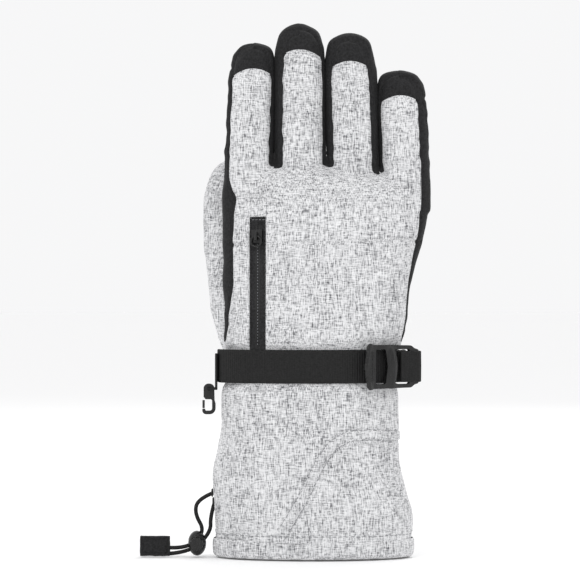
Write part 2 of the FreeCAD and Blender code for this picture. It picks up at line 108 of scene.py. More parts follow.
def new_material(name, colour, roughness, **sockets):
    mat = bpy.data.materials.new(name)
    mat.use_nodes = True
    shader = mat.node_tree.nodes["Principled BSDF"]
    shader.inputs["Base Color"].default_value = (*colour, 1)
    shader.inputs["Roughness"].default_value = roughness
    for socket, value in sockets.items():
        shader.inputs[socket.replace("_", " ")].default_value = value
    return mat, shader, mat.node_tree


class Nodes:
    """Short calls for the nodes that the materials share."""

    def __init__(self, tree):
        self.tree = tree
        self.place = self.add("ShaderNodeTexCoord").outputs["Object"]

    def add(self, kind, **values):
        node = self.tree.nodes.new(kind)
        for key, value in values.items():
            setattr(node, key, value)
        return node

    def link(self, a, b):
        self.tree.links.new(a, b)

    def scaled(self, scale):
        node = self.add("ShaderNodeMapping")
        node.inputs["Scale"].default_value = scale
        self.link(self.place, node.inputs["Vector"])
        return node.outputs["Vector"]

    def noise(self, scale, detail=2.0, rough=0.5):
        node = self.add("ShaderNodeTexNoise")
        self.link(self.scaled(scale), node.inputs["Vector"])
        node.inputs["Scale"].default_value = 1.0
        node.inputs["Detail"].default_value = detail
        node.inputs["Roughness"].default_value = rough
        return node.outputs["Fac"]

    def cells(self, scale):
        node = self.add("ShaderNodeTexVoronoi", feature="DISTANCE_TO_EDGE")
        self.link(self.scaled(scale), node.inputs["Vector"])
        node.inputs["Scale"].default_value = 1.0
        return node.outputs["Distance"]

    def waves(self, direction, per_metre):
        node = self.add("ShaderNodeTexWave", bands_direction=direction)
        self.link(self.place, node.inputs["Vector"])
        node.inputs["Scale"].default_value = per_metre * 0.31416 / 2
        return node.outputs["Fac"]

    def math(self, operation, a, b):
        node = self.add("ShaderNodeMath", operation=operation)
        for socket, value in zip(node.inputs, (a, b)):
            if isinstance(value, (int, float)):
                socket.default_value = value
            else:
                self.link(value, socket)
        return node.outputs[0]

    def ramp(self, value, stops):
        node = self.add("ShaderNodeValToRGB")
        self.link(value, node.inputs["Fac"])
        while len(node.color_ramp.elements) < len(stops):
            node.color_ramp.elements.new(0.5)
        for element, (place, colour) in zip(node.color_ramp.elements, stops):
            element.position = place
            element.color = (*colour, 1)
        return node.outputs["Color"]

    def bump(self, shader, height, strength, distance):
        node = self.add("ShaderNodeBump")
        node.inputs["Strength"].default_value = strength
        node.inputs["Distance"].default_value = distance
        self.link(height, node.inputs["Height"])
        self.link(node.outputs["Normal"], shader.inputs["Normal"])


def heather():
    """Light grey melange: dark and white yarns crossing, with slubs that run up the glove."""
    mat, shader, tree = new_material("heather_weave", (0.6, 0.61, 0.63), 0.86,
                                     Sheen_Weight=0.15, Sheen_Roughness=0.5)
    n = Nodes(tree)
    warp = n.noise((1750, 1750, 190), 3.0, 0.6)
    weft = n.noise((270, 270, 1800), 3.0, 0.6)
    cloud = n.noise((55, 55, 38), 2.0)
    yarn = n.math("ADD", n.math("MULTIPLY", warp, 0.52), n.math("MULTIPLY", weft, 0.40))
    yarn = n.math("ADD", yarn, n.math("MULTIPLY", cloud, 0.08))
    colour = n.ramp(yarn, ((0.375, (0.06, 0.062, 0.068)), (0.445, (0.31, 0.312, 0.322)),
                           (0.51, (0.62, 0.622, 0.632)), (0.61, (0.79, 0.793, 0.80))))
    n.link(colour, shader.inputs["Base Color"])
    threads = n.math("MULTIPLY", n.waves("Z", 1500), n.waves("X", 1500))
    n.bump(shader, n.math("ADD", n.math("MULTIPLY", threads, 0.5), yarn), 0.55, 0.00025)
    return mat


def softshell(name="softshell_weave", tint=0.0125):
    """Matt black stretch fabric with a fine grid of threads."""
    mat, shader, tree = new_material(name, (tint, tint, tint * 1.05), 0.8,
                                     Sheen_Weight=0.04, Sheen_Roughness=0.4, Specular_IOR_Level=0.2)
    n = Nodes(tree)
    fuzz = n.noise((900, 900, 900), 3.0)
    colour = n.ramp(fuzz, ((0.3, (tint * 0.6,) * 3), (0.7, (tint * 1.9, tint * 1.9, tint * 2.0))))
    n.link(colour, shader.inputs["Base Color"])
    threads = n.math("MULTIPLY", n.waves("Z", 1800), n.waves("X", 1800))
    n.bump(shader, n.math("ADD", threads, fuzz), 0.35, 0.0002)
    return mat


def leather():
    """Soft black leather: pebbled grain, fine creases, a dull shine that varies."""
    mat, shader, tree = new_material("grained_leather", (0.013, 0.013, 0.014), 0.44,
                                     Specular_IOR_Level=0.4)
    n = Nodes(tree)
    pebbles = n.cells((760, 760, 760))
    creases = n.noise((150, 150, 95), 4.0, 0.6)
    tone = n.ramp(creases, ((0.3, (0.010, 0.010, 0.011)), (0.7, (0.021, 0.021, 0.022))))
    n.link(tone, shader.inputs["Base Color"])
    shine = n.ramp(n.noise((45, 45, 45), 2.0), ((0.3, (0.38,) * 3), (0.7, (0.54,) * 3)))
    n.link(shine, shader.inputs["Roughness"])
    n.bump(shader, n.math("ADD", n.math("MULTIPLY", pebbles, 1.6), n.math("MULTIPLY", creases, 1.2)),
           0.6, 0.0004)
    return mat


def moulded(name="moulded_plastic", tint=0.006, roughness=0.24):
    """Injection-moulded black plastic with a faint orange-peel and a scuffed tone."""
    mat, shader, tree = new_material(name, (tint,) * 3, roughness, Coat_Weight=0.08,
                                     Specular_IOR_Level=0.35)
    n = Nodes(tree)
    peel = n.noise((420, 420, 420), 2.0)
    scuff = n.noise((900, 900, 120), 3.0)
    n.link(n.ramp(scuff, ((0.45, (tint,) * 3), (0.8, (tint * 2.4,) * 3))), shader.inputs["Base Color"])
    n.link(n.ramp(scuff, ((0.4, (roughness,) * 3), (0.8, (roughness + 0.2,) * 3))),
           shader.inputs["Roughness"])
    n.bump(shader, peel, 0.12, 0.0003)
    return mat


def webbing_yarn():
    mat, shader, tree = new_material("webbing_yarn", (0.012, 0.012, 0.013), 0.6,
                                     Sheen_Weight=0.03, Sheen_Roughness=0.4, Specular_IOR_Level=0.2)
    n = Nodes(tree)
    yarn = n.noise((700, 700, 2600), 2.0)
    n.link(n.ramp(yarn, ((0.3, (0.005,) * 3), (0.7, (0.018,) * 3))), shader.inputs["Base Color"])
    n.bump(shader, yarn, 0.4, 0.0003)
    return mat


def thread(name, tint):
    """Twisted sewing thread."""
    mat, shader, tree = new_material(name, tint, 0.6, Sheen_Weight=0.3)
    n = Nodes(tree)
    twist = n.noise((2500, 2500, 2500), 1.0)
    dark = tuple(c * 0.7 for c in tint)
    n.link(n.ramp(twist, ((0.3, dark), (0.7, tint))), shader.inputs["Base Color"])
    n.bump(shader, twist, 0.3, 0.0002)
    return mat


def fleece():
    mat, shader, tree = new_material("brushed_fleece", (0.03, 0.03, 0.033), 0.95,
                                     Sheen_Weight=0.2, Sheen_Roughness=0.6, Specular_IOR_Level=0.2)
    n = Nodes(tree)
    pile = n.noise((600, 600, 600), 4.0, 0.7)
    n.link(n.ramp(pile, ((0.3, (0.014,) * 3), (0.7, (0.06, 0.06, 0.065)))), shader.inputs["Base Color"])
    n.bump(shader, pile, 0.9, 0.001)
    return mat


def satin_label():
    mat, shader, tree = new_material("satin_label", (0.82, 0.84, 0.87), 0.42, Sheen_Weight=0.2)
    n = Nodes(tree)
    grain = n.noise((1800, 1800, 500), 2.0)
    n.link(n.ramp(grain, ((0.3, (0.70, 0.73, 0.77)), (0.7, (0.88, 0.90, 0.92)))),
           shader.inputs["Base Color"])
    n.bump(shader, n.math("ADD", grain, n.waves("Z", 1600)), 0.3, 0.0002)
    return mat


camera()
studio()
HEATHER = heather()
SOFTSHELL = softshell()
LEATHER = leather()
PLASTIC = moulded()
SATIN_PLASTIC = moulded("satin_plastic", 0.009, 0.38)
WEBBING = webbing_yarn()
WHITE_THREAD = thread("white_thread", (0.80, 0.80, 0.78))
GREY_THREAD = thread("grey_thread", (0.24, 0.245, 0.26))
BLACK_THREAD = thread("black_thread", (0.02, 0.02, 0.021))
FLEECE = fleece()
LABEL = satin_label()
ZIP_FILM = softshell("zip_film", 0.017)


# ---------------------------------------------------------------- cords

def cord(name, points):
    """A round braided cord on a smooth line through given points."""
    curve = bpy.data.curves.new(name, "CURVE")
    curve.dimensions = "3D"
    spline = curve.splines.new("NURBS")
    spline.points.add(len(points) - 1)
    for point, (x, z) in zip(spline.points, points):
        point.co = (x * MM, 0, z * MM, 1)
    spline.order_u = 3
    spline.use_endpoint_u = True
    spline.resolution_u = 12
    curve.bevel_depth = CORD_DIAMETER / 2
    curve.bevel_resolution = 5
    obj = bpy.data.objects.new(name, curve)
    bpy.context.collection.objects.link(obj)
    curve.materials.append(CORD_BRAID)
    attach(obj, "shell")
    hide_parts(name)


# The same routes as the CAD, in millimetres: across and up.
OUTER_STRAND = ((-61.8, 38.3), (-71.2, 34.6), (-73.4, 26.0), (-66.92, 14.86), (-77.17, 4.61), (-89.0, 5.3))
INNER_STRAND = ((-61.2, 33.0), (-63.9, 24.0), (-63.5, 14.54), (-75.6, 2.44), (-89.0, 1.7))


# ---------------------------------------------------------------- mesh helpers

def smooth(low, high, value):
    """0 below low, 1 above high, and a smooth rise between, for numbers or arrays."""
    share = np.clip((value - low) / (high - low), 0, 1)
    return share * share * (3 - 2 * share)


def ridge(value, width):
    """1 on a line and falling off to each side of it."""
    return np.exp(-(value / width) ** 2)


def new_object(name, mesh, *materials):
    obj = bpy.data.objects.new(name, mesh)
    bpy.context.collection.objects.link(obj)
    for mat in materials:
        mesh.materials.append(mat)
    return obj


def grid_mesh(name, rows, closed=True, capped=False):
    """A mesh through rows of points, in millimetres: each row is one ring or one line."""
    mesh = bpy.data.meshes.new(name)
    count = len(rows[0])
    points = [tuple(c * MM for c in p) for row in rows for p in row]
    faces = []
    for r in range(len(rows) - 1):
        for i in range(count if closed else count - 1):
            j = (i + 1) % count
            faces.append((r * count + i, r * count + j, (r + 1) * count + j, (r + 1) * count + i))
    if capped:
        faces.append(tuple(reversed(range(count))))
        faces.append(tuple(range((len(rows) - 1) * count, len(rows) * count)))
    mesh.from_pydata(points, [], faces)
    for polygon in mesh.polygons:
        polygon.use_smooth = True
    return mesh


def ring(height, across, depth, wide, deep, count=72):
    return [(across + wide * math.cos(math.tau * i / count),
             depth + deep * math.sin(math.tau * i / count), height) for i in range(count)]


def blended_rows(rows, step=4.0):
    """More rows between the given ones, on smooth curves through them."""
    rows = np.array(rows, float)
    heights = np.arange(rows[0, 0], rows[-1, 0], step)
    slopes = np.gradient(rows, rows[:, 0], axis=0)
    out = []
    for height in list(heights) + [rows[-1, 0]]:
        i = min(np.searchsorted(rows[:, 0], height, "right") - 1, len(rows) - 2)
        span = rows[i + 1, 0] - rows[i, 0]
        u = (height - rows[i, 0]) / span
        value = ((2 * u ** 3 - 3 * u ** 2 + 1) * rows[i] + (u ** 3 - 2 * u ** 2 + u) * span * slopes[i]
                 + (3 * u ** 2 - 2 * u ** 3) * rows[i + 1] + (u ** 3 - u ** 2) * span * slopes[i + 1])
        value[0] = height
        out.append(value)
    return out


def tube(name, rows):
    return new_object(name, grid_mesh(name, [ring(*row) for row in blended_rows(rows)], capped=True))


def apply_modifier(obj, kind, **settings):
    modifier = obj.modifiers.new(kind, kind)
    for key, value in settings.items():
        setattr(modifier, key, value)
    graph = bpy.context.evaluated_depsgraph_get()
    mesh = bpy.data.meshes.new_from_object(obj.evaluated_get(graph))
    materials = list(obj.data.materials)
    obj.modifiers.clear()
    obj.data = mesh
    obj.data.materials.clear()
    for mat in materials:
        obj.data.materials.append(mat)
    return obj


def remesh(obj, voxel, rounds=0):
    apply_modifier(obj, "REMESH", mode="VOXEL", voxel_size=voxel * MM, use_smooth_shade=True)
    if rounds:
        apply_modifier(obj, "SMOOTH", factor=0.5, iterations=rounds)
    return obj


def joined(name, objects):
    mesh = bpy.data.meshes.new(name)
    bm = bmesh.new()
    for obj in objects:
        bm.from_mesh(obj.data)
    bm.to_mesh(mesh)
    bm.free()
    return new_object(name, mesh)


def points_of(mesh):
    co = np.empty(len(mesh.vertices) * 3)
    mesh.vertices.foreach_get("co", co)
    return co.reshape(-1, 3) / MM


def normals_of(mesh):
    normal = np.empty(len(mesh.vertices) * 3, dtype=np.float32)
    mesh.vertex_normals.foreach_get("vector", normal)
    return normal.reshape(-1, 3).astype(float)


def set_points(mesh, points):
    mesh.vertices.foreach_set("co", (points * MM).ravel())
    mesh.update()


def noise_field(points, scale, seed):
    """Smooth noise from -1 to 1 whose features are about scale millimetres across."""
    shift = Vector((seed * 17.3, seed * 5.1, seed * 9.7))
    scale = np.array(scale, float) * np.ones(3)
    return np.array([noise(Vector(p / scale) + shift) for p in points])


def puff(obj, cap):
    """Cloth blown up a little from inside, so the padding shows; no point moves more than cap."""
    remesh(obj, CLOTH_VOXEL)
    rest = points_of(obj.data)
    cloth = obj.modifiers.new("cloth", "CLOTH")
    cloth.settings.use_pressure = True
    cloth.settings.uniform_pressure_force = 4.0
    cloth.settings.effector_weights.gravity = 0.0
    cloth.settings.tension_stiffness = 25.0
    cloth.settings.compression_stiffness = 25.0
    cloth.settings.bending_stiffness = 4.0
    cloth.point_cache.frame_start, cloth.point_cache.frame_end = 1, CLOTH_FRAMES
    for step in range(1, CLOTH_FRAMES + 1):
        bpy.context.scene.frame_set(step)
    graph = bpy.context.evaluated_depsgraph_get()
    mesh = bpy.data.meshes.new_from_object(obj.evaluated_get(graph))
    obj.modifiers.clear()
    bpy.context.scene.frame_set(1)
    moved = points_of(mesh) - rest
    length = np.linalg.norm(moved, axis=1, keepdims=True) + 1e-9
    set_points(mesh, rest + moved * np.minimum(1, cap / length))
    obj.data = mesh
    return apply_modifier(obj, "SUBSURF", levels=1)


# ---------------------------------------------------------------- shape of the glove

# height, centre across, centre in depth, half width, half depth
TRUNK = (
    (4, -2.3, 0, 59.4, 32.6),
    (16, -2.0, 0, 60.6, 32.4),
    (29, -2.7, 0, 61.0, 31.8),
    (51, -5.4, 0, 58.0, 30.6),
    (77, -4.5, 0, 55.5, 29.0),
    (101, -3.8, 0, 54.0, 27.2),
    (118, -3.0, 0, 53.6, 26.2),
    (130, -1.8, 0, 55.0, 25.8),
    (153, 0.0, 0, 56.8, 24.8),
    (182, 2.2, 0, 59.6, 23.3),
    (206, 4.4, 0, 62.2, 21.6),
    (219, 4.6, 0, 62.0, 19.0),
    (229, -1.0, 0, 55.0, 14.5),
    (236, -8.0, 0, 42.0, 8.0),
)
# tip height, centre at the base, centre at the tip, half width, half depth,
# height where the free finger starts, cap edge on the back, leather's edge on the palm side,
# and how deep the grey reaches round the thumb side and round the little-finger side
FINGER_SHAPES = {
    "index": (309, -40.8, -37.4, 14.5, 13.2, 242, 292.5, 303, 4.6, 7.4),
    "middle": (320, -9.8, -10.4, 16.2, 13.6, 243, 304, 314, 9.6, 6.6),
    "ring": (314.5, 22.7, 19.6, 16.4, 13.4, 240, 297, 308, 8.2, 8.8),
    "little": (292, 53.3, 49.6, 15.2, 12.6, 233, 276.5, 286, 6.2, 8.2),
}
FINGER_FOOT = 206
DOME = ((0.0, 0.96), (0.3, 1.0), (0.55, 1.0), (0.78, 0.985), (0.885, 0.92), (0.95, 0.76),
        (0.985, 0.50), (1.0, 0.14))
# Where one finger meets the next: across at FINGER_FOOT, and 94 mm further up.
FINGER_GAPS = ((-25.8, -24.2), (6.4, 4.6), (38.6, 34.4))
THUMB = (
    (121, -32, 11, 24, 12),
    (130, -33, 13, 26, 14),
    (145, -35.5, 16.5, 27.5, 15.2),
    (160, -38, 20, 27.5, 15.6),
    (175, -42, 24.5, 25, 15.4),
    (190, -47, 29, 21, 15),
    (205, -51, 32, 17.6, 14.6),
    (220, -52.4, 33.5, 15, 13.8),
    (230, -52, 33.5, 12.6, 11.8),
    (237, -51.4, 33.5, 8.5, 8.0),
    (241, -51, 33.5, 3.0, 3.0),
)


def finger_forward(height, finger):
    """How far the finger leans towards the palm at a height."""
    share = np.clip((height - FINGER_FOOT) / (FINGER_SHAPES[finger][0] - FINGER_FOOT), 0, 1)
    return 7.0 * share ** 2


def finger_rows(finger):
    tip, base_x, tip_x, wide, deep = FINGER_SHAPES[finger][:5]
    rows = []
    for share, shrink in DOME:
        height = FINGER_FOOT + share * (tip - FINGER_FOOT)
        rows.append((height, base_x + share * (tip_x - base_x), finger_forward(height, finger),
                     wide * shrink, deep * shrink))
    return rows


def finger_of(x, z, among):
    """Which of some fingers a point above the knuckles is nearest to: an index into FINGERS."""
    distances = []
    for finger in among:
        tip, base_x, tip_x, wide = FINGER_SHAPES[finger][:4]
        share = np.clip((z - FINGER_FOOT) / (tip - FINGER_FOOT), 0, 1)
        distances.append(np.abs(x - base_x - (tip_x - base_x) * share) / wide)
    return np.array([FINGERS.index(finger) for finger in among])[np.argmin(distances, axis=0)]


def per_finger(column, finger):
    return np.array([FINGER_SHAPES[f][column] for f in FINGERS])[finger]


def back_edge(x, z, off, nearest):
    """Depth at which the grey back panel ends, before the black side strip."""
    thumb_side = 3.5 + 6.5 * smooth(140, 165, z) * (1 - smooth(215, 236, z))
    little_side = 3.0 + 4.5 * smooth(150, 215, z)
    finger = np.where(off < 0, per_finger(8, nearest), per_finger(9, nearest))
    hand = np.where(x < 0, thumb_side, little_side)
    return -(hand + (finger - hand) * smooth(212, 238, z))


def fields(co, among=FINGERS):
    """The signed distances, in millimetres, whose zero lines are the panels' edges."""
    x, y, z = co.T
    nearest = finger_of(x, z, among)
    share = np.clip((z - FINGER_FOOT) / (per_finger(0, nearest) - FINGER_FOOT), 0, 1)
    lean = 7.0 * share ** 2
    base, tip = per_finger(1, nearest), per_finger(2, nearest)
    off = x - base - (tip - base) * share
    return {
        "finger": nearest,
        "back": back_edge(x, z, off, nearest) - (y - lean),
        "palm": (y - lean) - (5.5 + 0.8 * smooth(225, 245, z)),
        "free": z - per_finger(5, nearest),
        "cap": z - per_finger(6, nearest) + 0.028 * off ** 2,
        "pad_top": z - per_finger(7, nearest) + 0.055 * off ** 2,
        "wrist": z - WRIST_SEAM,
        "strip_end": z - 129.0,
        "zip_side": 4.8 - np.abs(x - ZIP_X),
        "zip_top": 203.5 - z,
        "patch_side": 5.4 - np.abs(x + 34.6),
        "patch_low": z - 200.5,
        "patch_top": 216.0 - z,
    }


BAND = np.array(((52, 72.5), (34, 74.0), (18.5, 73.5), (9.0, 68.0), (2.5, 59.0), (-2.6, 49.0),
                 (-9.0, 36.0), (-20.0, 17.0)))


def distance_to_line(x, z, line):
    best = np.full(len(x), 1e9)
    for a, b in zip(line, line[1:]):
        run = b - a
        u = np.clip(((x - a[0]) * run[0] + (z - a[1]) * run[1]) / (run @ run), 0, 1)
        best = np.minimum(best, np.hypot(x - a[0] - u * run[0], z - a[1] - u * run[1]))
    return best


def relief(co, among):
    """How far each point stands out of the smooth shape: padding, seams, folds and gathers."""
    x, y, z = co.T
    f = fields(co, among)
    hand = smooth(127, 133, z)
    back = y < 0
    height = np.zeros(len(co))
    seam = np.maximum(ridge(f["back"], 1.0), ridge(f["palm"], 1.0)) * hand
    height += 1.1 * (1 - np.exp(-(np.minimum(np.abs(f["back"]), np.abs(f["palm"])) / 5) ** 2)) * hand
    height -= 1.0 * seam
    on_finger = smooth(-6, 0, f["free"])
    height -= 0.7 * ridge(f["cap"], 0.9) * on_finger * back
    height -= 0.8 * ridge(f["pad_top"], 1.0) * on_finger * ~back
    for line in (2.6, 4.4):
        height -= 0.22 * ridge(f["cap"] - line, 0.5) * on_finger * back
    height -= 1.0 * ridge(z - 187.0 - 0.02 * (x + 50), 1.1) * back * smooth(-54, -50, x) * (f["zip_side"] < 0)
    height -= np.where((x < 0) & (z < 60), 0.3, 0.8) * ridge(y, 1.0) * (1 - hand)
    height -= 0.5 * ridge(z - 14.0, 0.8) + 0.35 * ridge(z - 17.5, 0.6)
    band = distance_to_line(x, z, BAND)
    height += (0.9 * (1 - smooth(2.2, 3.4, band)) - 0.6 * ridge(band - 3.2, 0.8)) * back
    height += 0.8 * (ridge(z - 97, 6) + ridge(z - 132, 6)) * back
    leather = ~back * hand * smooth(-1, 1, f["palm"])
    gather = np.sin(x * 1.05 + 1.5 * noise_field(co, 9, 3)) * ridge(z - 118, 9) * ~back
    height += 0.75 * gather
    height -= 0.8 * ridge(f["wrist"], 1.0) * ~back
    height += 0.5 * ~back * smooth(WRIST_SEAM, WRIST_SEAM + 2, z)
    folds = 1 - np.abs(noise_field(co, (26, 40, 15), 5))
    height += 1.3 * (folds ** 3 - 0.4) * leather
    height += 0.45 * (1 - np.abs(noise_field(co, (9, 12, 7), 8))) ** 4 * leather
    height += 1.3 * noise_field(co, (34, 34, 24), 2) * (1 - on_finger)
    height += 0.4 * noise_field(co, 9, 4)
    height += 0.9 * noise_field(co, (16, 16, 8), 6) * ridge(z - 135, 16)
    height += 0.8 * noise_field(co, (10, 10, 24), 9) * (ridge(z - 96, 12) + ridge(z - 136, 12)) * back
    height += 0.7 * noise_field(co, (30, 30, 6), 10) * on_finger
    inside_zip = smooth(-0.4, 0.4, f["zip_side"]) * smooth(-0.4, 0.4, f["zip_top"]) * (z > 100) * back
    height = height * (1 - inside_zip) - inside_zip * (1.85 + 0.5 * ridge(x - ZIP_X, 0.45))
    patch = smooth(-0.4, 0.4, f["patch_side"]) * smooth(-0.4, 0.4, f["patch_top"])
    patch = patch * smooth(-0.4, 0.4, f["patch_low"]) * back
    height += 0.7 * patch
    up = np.clip((z - FINGER_FOOT) / 94.0, 0, 1)
    apart = np.min([np.abs(x - low - (high - low) * up) for low, high in FINGER_GAPS], axis=0)
    height = height * (1 - 0.95 * ridge(apart, 3.0) * smooth(228, 236, z))
    strapped = smooth(101.5, 105, z) * (1 - smooth(124.5, 128, z)) * (back | (np.abs(x) > 46))
    return np.where(strapped > 0, height * (1 - strapped) - 0.6 * strapped, height)


def bm_points(bm):
    return np.array([v.co for v in bm.verts]) / MM


def split_along(bm, line, where=None):
    """Cuts the mesh along the zero line of a field; where keeps the cut to part of it."""
    co = bm_points(bm)
    values = line(co)
    wanted = np.ones(len(co), bool) if where is None else where(co)
    cuts = []
    for edge in bm.edges:
        a, b = edge.verts
        if wanted[a.index] and wanted[b.index] and values[a.index] * values[b.index] < 0:
            cuts.append((edge, a, values[a.index] / (values[a.index] - values[b.index])))
    new = [bmesh.utils.edge_split(edge, a, min(max(share, 0.05), 0.95))[1] for edge, a, share in cuts]
    bmesh.ops.connect_verts(bm, verts=new)
    bm.verts.index_update()
    bm.verts.ensure_lookup_table()


def cut_pieces(bm, names):
    """Separate meshes for the faces that share a name, shaded as one smooth surface."""
    bm.normal_update()
    normals = [v.normal.copy() for v in bm.verts]
    groups = {}
    for face, name in zip(bm.faces, names):
        groups.setdefault(name, []).append(face)
    meshes = {}
    bm.verts.ensure_lookup_table()
    for name, faces in groups.items():
        order = {}
        polygons = [[order.setdefault(v.index, len(order)) for v in face.verts] for face in faces]
        mesh = bpy.data.meshes.new(name)
        mesh.from_pydata([bm.verts[i].co for i in order], [], polygons)
        for polygon in mesh.polygons:
            polygon.use_smooth = True
        mesh.normals_split_custom_set_from_vertices([normals[i] for i in order])
        meshes[name] = mesh
    return meshes


PIECE_LOOKS = {
    "back_panel": (HEATHER, "heather_shell"), "palm_panel": (LEATHER, "palm_leather"),
    "side_strips": (SOFTSHELL, "black_softshell"), "tip_cap": (SOFTSHELL, "black_softshell"),
    "gauntlet_back_panel": (HEATHER, "heather_shell"), "gauntlet_palm_panel": (HEATHER, "heather_shell"),
    "hand_back_panel": (HEATHER, "heather_shell"), "side_gussets": (SOFTSHELL, "black_softshell"),
    "zip_tape": (ZIP_FILM, "zip_tape"), "zip_garage": (HEATHER, "heather_shell"),
}


def look_of(name):
    if name in PIECE_LOOKS:
        return PIECE_LOOKS[name]
    return PIECE_LOOKS[next(k for k in PIECE_LOOKS if name.endswith(k))]


def glove_surface(cores, among):
    """The gauntlet and hand with some of the fingers, as one smooth padded surface."""
    skin = remesh(joined("glove_skin", [cores["trunk"]] + [cores[f] for f in among]), SKIN_VOXEL, 5)
    co = points_of(skin.data)
    set_points(skin.data, co + normals_of(skin.data) * relief(co, among)[:, None])
    return skin


def hand_face_name(c):
    """The CAD node that a face of the glove belongs to, from its fields."""
    if c["free"] > 0:
        finger = FINGERS[int(c["finger"])]
        if c["back"] > 0:
            return finger + ("_tip_cap" if c["cap"] > 0 else "_back_panel")
        if c["palm"] > 0:
            return finger + ("_tip_cap" if c["pad_top"] > 0 else "_palm_panel")
        return finger + ("_tip_cap" if c["cap"] > 0 else "_side_strips")
    front = c["y"] < 0
    if front and c["zip_side"] > 0 and c["zip_top"] > 0 and c["z"] > 106:
        return "zip_tape"
    if front and c["patch_side"] > 0 and c["patch_low"] > 0 and c["patch_top"] > 0:
        return "zip_garage"
    if c["wrist"] < 0:
        return "gauntlet_back_panel" if front else "gauntlet_palm_panel"
    if c["palm"] > 0:
        return "palm_panel"
    return "hand_back_panel" if c["back"] > 0 or c["strip_end"] < 0 else "side_gussets"


def glove_pieces(skin, among):
    """The panels cut from a glove surface, by name, and the surface itself for sewing."""
    def field(name):
        return lambda co: fields(co, among)[name]

    def tips(co):
        return fields(co, among)["free"] > 0

    def near_zip(co):
        x, y, z = co.T
        return (y < 0) & (np.abs(x + 35) < 9) & (z > 98) & (z < 220)

    bm = bmesh.new()
    bm.from_mesh(skin.data)
    whole = list(bm.verts) + list(bm.edges) + list(bm.faces)
    bmesh.ops.bisect_plane(bm, geom=whole, plane_co=(0, 0, SKIN_LOW * MM), plane_no=(0, 0, -1),
                           clear_outer=True)
    bm.verts.index_update()
    split_along(bm, field("free"))
    split_along(bm, field("back"), lambda co: co[:, 2] > 117)
    split_along(bm, field("palm"), lambda co: co[:, 2] > 117)
    split_along(bm, field("cap"), tips)
    split_along(bm, field("pad_top"), lambda co: tips(co) & (co[:, 1] > 0))
    split_along(bm, field("wrist"))
    split_along(bm, field("strip_end"), lambda co: np.abs(co[:, 0]) > 40)
    split_along(bm, lambda co: co[:, 1], lambda co: co[:, 2] < 121)
    for name in ("zip_side", "zip_top", "patch_side", "patch_low", "patch_top"):
        split_along(bm, field(name), near_zip)
    centres = np.array([face.calc_center_median() for face in bm.faces]) / MM
    values = fields(centres, among)
    values.update(x=centres[:, 0], y=centres[:, 1], z=centres[:, 2])
    keys = list(values)
    names = [hand_face_name(dict(zip(keys, row))) for row in zip(*(values[k] for k in keys))]
    meshes = cut_pieces(bm, names)
    surface = BVHTree.FromBMesh(bm)
    bm.free()
    bpy.data.objects.remove(skin)
    return meshes, surface


def whole_glove():
    """Every panel. Neighbouring fingers are made in turns, so each keeps its own side walls."""
    cores = {"trunk": puff(tube("trunk", TRUNK), 1.5)}
    cores.update({f: puff(tube(f + "_core", finger_rows(f)), 0.2) for f in FINGERS})
    panels, surface = glove_pieces(glove_surface(cores, FINGERS), FINGERS)
    meshes = {name: mesh for name, mesh in panels.items() if name.split("_")[0] not in FINGERS}
    for among in (("index", "ring"), ("middle", "little")):
        panels, _ = glove_pieces(glove_surface(cores, among), among)
        meshes.update({name: mesh for name, mesh in panels.items() if name.split("_")[0] in among})
    for core in cores.values():
        bpy.data.objects.remove(core)
    return meshes, surface


def place_pieces(meshes):
    for name, mesh in sorted(meshes.items()):
        mat, slot = look_of(name)
        obj = new_object(name + "_cloth", mesh, mat)
        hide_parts(name)
        limb = name.split("_")[0]
        if limb in FINGERS:
            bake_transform(obj)
            if name.endswith("back_panel"):
                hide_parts(limb + "_insulation", limb + "_lining")
        elif limb == "thumb":
            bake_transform(obj)
            if name.endswith("back_panel"):
                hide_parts("thumb_insulation", "thumb_lining")
        else:
            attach(obj, "shell")
            if name == "gauntlet_back_panel":
                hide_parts("gauntlet_insulation", "back_insulation", "palm_insulation")


# ---------------------------------------------------------------- thumb

def thumb_grey(co):
    """Positive on the grey outer panel of the thumb."""
    edge = np.interp(co[:, 2], (121, 126, 145, 179, 212, 235, 243), (-27, -26, -32, -36.5, -44, -51, -58))
    return edge - co[:, 0]


def thumb_leather(co):
    """Positive on the thumb's leather, across the black strip from the grey panel."""
    edge = np.interp(co[:, 2], (121, 126, 158, 191, 233, 243), (-18, -17, -24, -30, -42, -47))
    return co[:, 0] - edge


def thumb_pieces():
    skin = remesh(puff(tube("thumb_core", THUMB), 0.8), THUMB_VOXEL, 4)
    co = points_of(skin.data)
    grey, hide = thumb_grey(co), thumb_leather(co)
    height = -0.9 * np.maximum(ridge(grey, 1.0), ridge(hide, 1.0))
    height += 0.9 * (1 - np.exp(-(np.minimum(np.abs(grey), np.abs(hide)) / 5) ** 2))
    height += 0.7 * noise_field(co, (26, 26, 18), 11) + 0.3 * noise_field(co, 9, 12)
    folds = 1 - np.abs(noise_field(co, (22, 30, 12), 13))
    height += 1.2 * (folds ** 3 - 0.4) * smooth(-1, 1, hide)
    set_points(skin.data, co + normals_of(skin.data) * height[:, None])
    bm = bmesh.new()
    bm.from_mesh(skin.data)
    bm.verts.index_update()
    split_along(bm, thumb_grey)
    split_along(bm, thumb_leather)
    centres = np.array([face.calc_center_median() for face in bm.faces]) / MM
    grey, hide, top = thumb_grey(centres), thumb_leather(centres), centres[:, 2] > 232.5
    inner = np.where(hide > 0, "thumb_palm_panel", "thumb_side_strips")
    names = np.where(grey > 0, "thumb_back_panel", inner)
    names = np.where(top & (grey <= 0) & (hide <= 0), "thumb_tip_cap", names)
    meshes = cut_pieces(bm, [str(n) for n in names])
    bm.free()
    bpy.data.objects.remove(skin)
    return meshes


# ---------------------------------------------------------------- hem, lining and webbing

